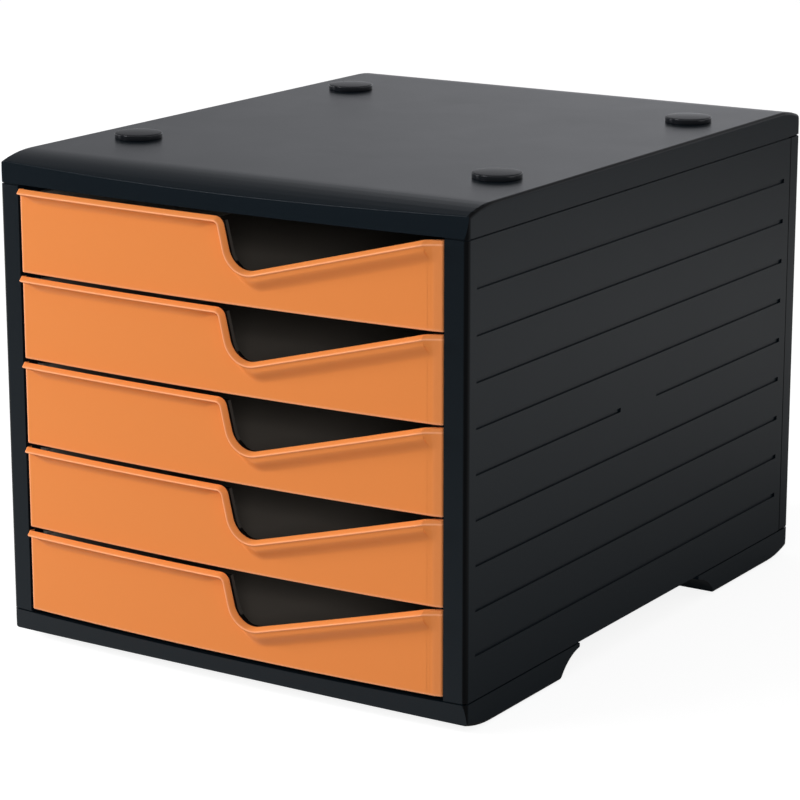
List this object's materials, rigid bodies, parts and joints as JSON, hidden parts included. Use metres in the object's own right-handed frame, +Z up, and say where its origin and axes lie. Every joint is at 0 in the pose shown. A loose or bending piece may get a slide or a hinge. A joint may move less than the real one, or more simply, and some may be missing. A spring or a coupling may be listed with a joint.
{
  "type": "file box with drawers",
  "caption": "Desktop file box: dark moulded housing with a bowed front, ribbed side panels and stacked sliding drawers whose bright fronts have a lip and a finger cut-out.",
  "frame": {"origin": "middle of the bounding box, on the surface that the foot pads stand on", "axes": "+Z up, +Y from the drawer fronts to the rear, +X to the right of someone who faces the drawers"},
  "size_m": [0.275, 0.358, 0.2572],
  "materials": {
    "housing_plastic": "fine satin texture, dark slate grey",
    "tray_plastic": "satin, dark slate grey",
    "front_plastic": "satin, orange",
    "cap_plastic": "glossy black",
    "pad_rubber": "matt black",
    "screw_steel": "zinc plated"
  },
  "bodies": {
    "housing": {"top_cover": "housing_plastic", "base_frame": "housing_plastic", "side_panel_left": "housing_plastic", "side_panel_right": "housing_plastic", "back_panel": "housing_plastic", "stacking_cap_front_left": "cap_plastic", "stacking_cap_front_right": "cap_plastic", "stacking_cap_rear_left": "cap_plastic", "stacking_cap_rear_right": "cap_plastic", "foot_pad_front_left": "pad_rubber", "foot_pad_front_right": "pad_rubber", "foot_pad_rear_left": "pad_rubber", "foot_pad_rear_right": "pad_rubber", "base_screws": "screw_steel"},
    "drawer_1": {"drawer_tray_1": "tray_plastic", "drawer_front_1": "front_plastic"},
    "drawer_2": {"drawer_tray_2": "tray_plastic", "drawer_front_2": "front_plastic"},
    "drawer_3": {"drawer_tray_3": "tray_plastic", "drawer_front_3": "front_plastic"},
    "drawer_4": {"drawer_tray_4": "tray_plastic", "drawer_front_4": "front_plastic"},
    "drawer_5": {"drawer_tray_5": "tray_plastic", "drawer_front_5": "front_plastic"}
  },
  "joints": [
    {"name": "drawer_slide_1", "type": "slide", "parent": "housing", "child": "drawer_1", "axis": [0, -1, 0], "range_m": [0, 0.27]},
    {"name": "drawer_slide_2", "type": "slide", "parent": "housing", "child": "drawer_2", "axis": [0, -1, 0], "range_m": [0, 0.27]},
    {"name": "drawer_slide_3", "type": "slide", "parent": "housing", "child": "drawer_3", "axis": [0, -1, 0], "range_m": [0, 0.27]},
    {"name": "drawer_slide_4", "type": "slide", "parent": "housing", "child": "drawer_4", "axis": [0, -1, 0], "range_m": [0, 0.27]},
    {"name": "drawer_slide_5", "type": "slide", "parent": "housing", "child": "drawer_5", "axis": [0, -1, 0], "range_m": [0, 0.27]}
  ]
}
